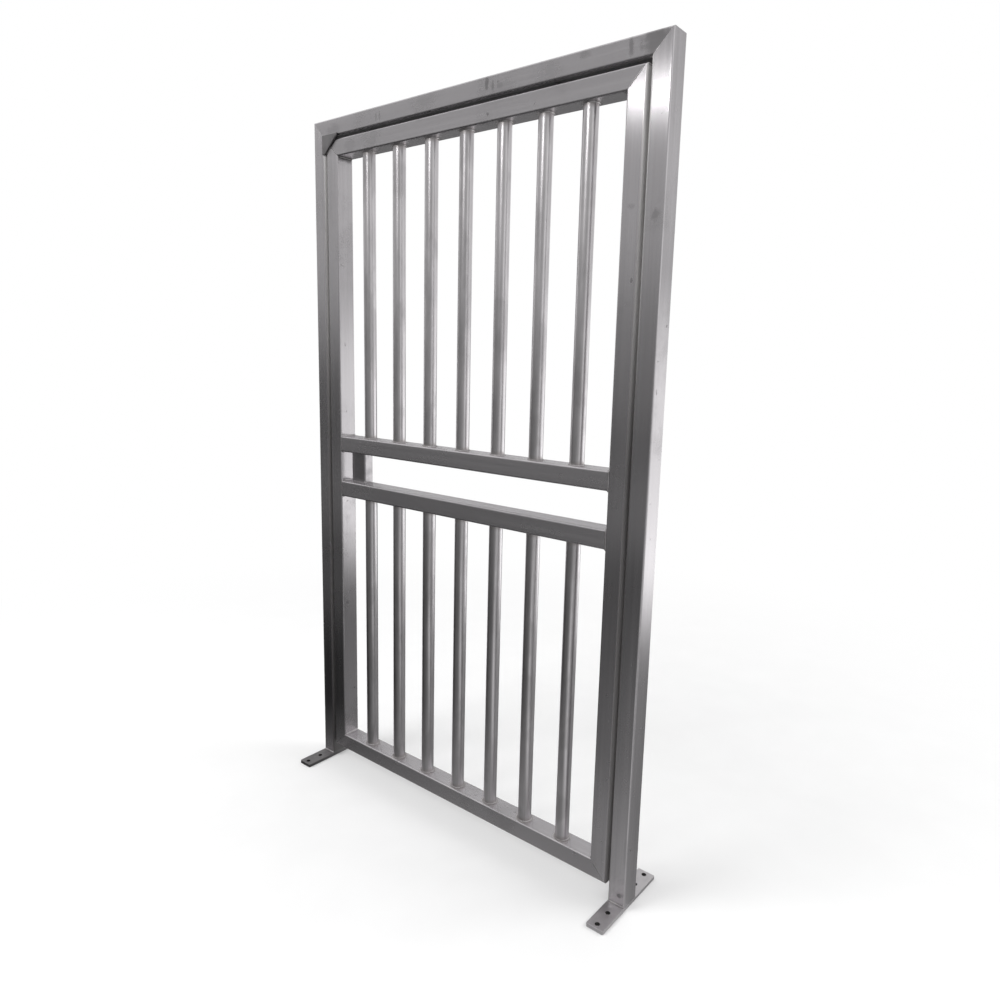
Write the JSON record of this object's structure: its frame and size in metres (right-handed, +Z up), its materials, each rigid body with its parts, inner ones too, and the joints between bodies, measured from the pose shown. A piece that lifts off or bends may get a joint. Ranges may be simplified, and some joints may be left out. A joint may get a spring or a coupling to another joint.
{
  "type": "turnstile side gate",
  "caption": "Stainless steel side gate for a turnstile line: a portal frame on two foot plates with one side-hung barred leaf and a lock bracket between its mid rails.",
  "frame": {"origin": "middle of the underside of the foot plate under the hinge post, on the floor", "axes": "+X from the lock post towards the hinge post, +Y from the front to the back, to which the leaf opens, +Z up"},
  "size_m": [1.22, 0.27, 2.1],
  "materials": {
    "frame_section": "lengthwise brushed stainless steel with dull patches",
    "leaf_section": "lengthwise brushed stainless steel with dull patches",
    "bar": "brushed stainless steel tube, brighter than the sections",
    "foot_plate": "cut stainless steel plate, satin",
    "stop_plate": "cut stainless steel plate, satin",
    "lock_case": "folded stainless steel sheet, satin",
    "hinge": "turned stainless steel",
    "washer": "turned brass"
  },
  "bodies": {
    "frame": {"lock_post": "frame_section", "hinge_post": "frame_section", "head_rail": "frame_section", "lock_foot": "foot_plate", "hinge_foot": "foot_plate", "stop_plate": "stop_plate", "hinge_pin_half_top": "hinge", "hinge_pin_half_bottom": "hinge", "hinge_washer_top": "washer", "hinge_washer_bottom": "washer"},
    "leaf": {"lock_stile": "leaf_section", "hinge_stile": "leaf_section", "leaf_top_rail": "leaf_section", "leaf_bottom_rail": "leaf_section", "upper_mid_rail": "leaf_section", "lower_mid_rail": "leaf_section", "lock_case": "lock_case", "hinge_socket_half_top": "hinge", "hinge_socket_half_bottom": "hinge", "upper_bar_1": "bar", "upper_bar_2": "bar", "upper_bar_3": "bar", "upper_bar_4": "bar", "upper_bar_5": "bar", "upper_bar_6": "bar", "upper_bar_7": "bar", "lower_bar_1": "bar", "lower_bar_2": "bar", "lower_bar_3": "bar", "lower_bar_4": "bar", "lower_bar_5": "bar", "lower_bar_6": "bar", "lower_bar_7": "bar"}
  },
  "joints": [
    {"name": "leaf_swing", "type": "hinge", "parent": "frame", "child": "leaf", "pos_m": [-0.03, 0.041, 1.04], "axis": [0, 0, -1], "range_deg": [0, 180]}
  ]
}
